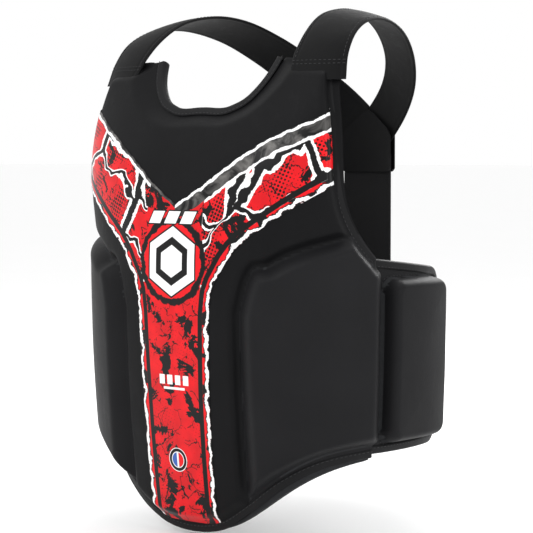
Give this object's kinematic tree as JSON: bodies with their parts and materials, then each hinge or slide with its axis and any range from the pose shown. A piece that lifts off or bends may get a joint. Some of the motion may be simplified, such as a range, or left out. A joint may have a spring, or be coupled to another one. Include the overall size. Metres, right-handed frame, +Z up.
{
  "type": "chest protector",
  "caption": "Padded chest guard for boxing: moulded front panel with rib and side pads, two shoulder straps, an upright back strap and a waist strap held by hook-and-loop jaws.",
  "frame": {"origin": "on the wearer's torso axis at armpit height, in the middle between the two side wings", "axes": "+Z up the wearer's body, +X to the wearer's left, the wearer faces -Y"},
  "size_m": [0.3832, 0.3218, 0.521],
  "materials": {
    "lining": "matte",
    "foam": "matte",
    "leather": "matte",
    "pad_leather": "matte",
    "print": "gloss",
    "tape": "satin",
    "strap_leather": "satin",
    "strap_print": "satin",
    "webbing": "woven",
    "loop_pile": "brushed",
    "hook_tape": "matte",
    "label": "woven"
  },
  "bodies": {
    "front": {"front_lining": "lining", "front_base_foam": "foam", "chest_foam": "foam", "chest_cover": "leather", "left_rib_foam": "foam", "right_rib_foam": "foam", "left_rib_cover": "pad_leather", "right_rib_cover": "pad_leather", "chest_print": "print", "neck_binding": "tape", "hem_binding": "tape", "left_armhole_binding": "tape", "right_armhole_binding": "tape", "left_shoulder_strap": "strap_leather", "right_shoulder_strap": "strap_leather", "left_strap_anchor": "webbing", "right_strap_anchor": "webbing"},
    "left_side": {"left_side_lining": "lining", "left_side_base": "foam", "left_side_foam": "foam", "left_side_cover": "pad_leather", "left_side_binding": "tape"},
    "right_side": {"right_side_lining": "lining", "right_side_base": "foam", "right_side_foam": "foam", "right_side_cover": "pad_leather", "right_side_binding": "tape", "right_tab_inner": "strap_leather"},
    "right_flap": {"right_tab_outer": "strap_leather", "right_tab_hook": "hook_tape"},
    "waist_strap": {"waist_strap": "strap_leather", "left_tab_inner": "strap_leather", "left_strap_loop": "loop_pile", "right_strap_loop": "loop_pile", "waist_hook_patch": "hook_tape", "strap_print": "strap_print"},
    "left_flap": {"left_tab_outer": "strap_leather", "left_tab_hook": "hook_tape"},
    "yoke": {"yoke_inner_patch": "leather", "yoke_outer_patch": "leather", "back_strap": "webbing", "back_strap_loop": "loop_pile", "size_label": "label"}
  },
  "joints": [
    {"name": "right_flap_open", "type": "hinge", "parent": "right_side", "child": "right_flap", "pos_m": [-0.1585, 0.079, -0.14], "axis": [0, 0, 1], "range_deg": [0, 100]},
    {"name": "right_side_spread", "type": "hinge", "parent": "front", "child": "right_side", "pos_m": [-0.168, -0.034, -0.14], "axis": [0, 0, 1], "range_deg": [0, 15]},
    {"name": "left_side_spread", "type": "hinge", "parent": "front", "child": "left_side", "pos_m": [0.168, -0.034, -0.14], "axis": [0, 0, -1], "range_deg": [0, 8]},
    {"name": "waist_strap_swing", "type": "hinge", "parent": "left_side", "child": "waist_strap", "pos_m": [0.1585, 0.079, -0.14], "axis": [0, 0, -1], "range_deg": [0, 15]},
    {"name": "left_flap_open", "type": "hinge", "parent": "waist_strap", "child": "left_flap", "pos_m": [0.1585, 0.079, -0.14], "axis": [0, 0, -1], "range_deg": [0, 100]},
    {"name": "back_strap_adjust", "type": "slide", "parent": "front", "child": "yoke", "axis": [0, 0, 1], "range_m": [-0.03, 0.03], "deforming": ["left_shoulder_strap", "right_shoulder_strap"]}
  ],
  "couplings": [
    {"joint": "right_side_spread", "follows": "right_flap_open", "ratio": 0.149},
    {"joint": "left_side_spread", "follows": "right_flap_open", "ratio": 0.079},
    {"joint": "waist_strap_swing", "follows": "right_flap_open", "ratio": 0.149}
  ]
}
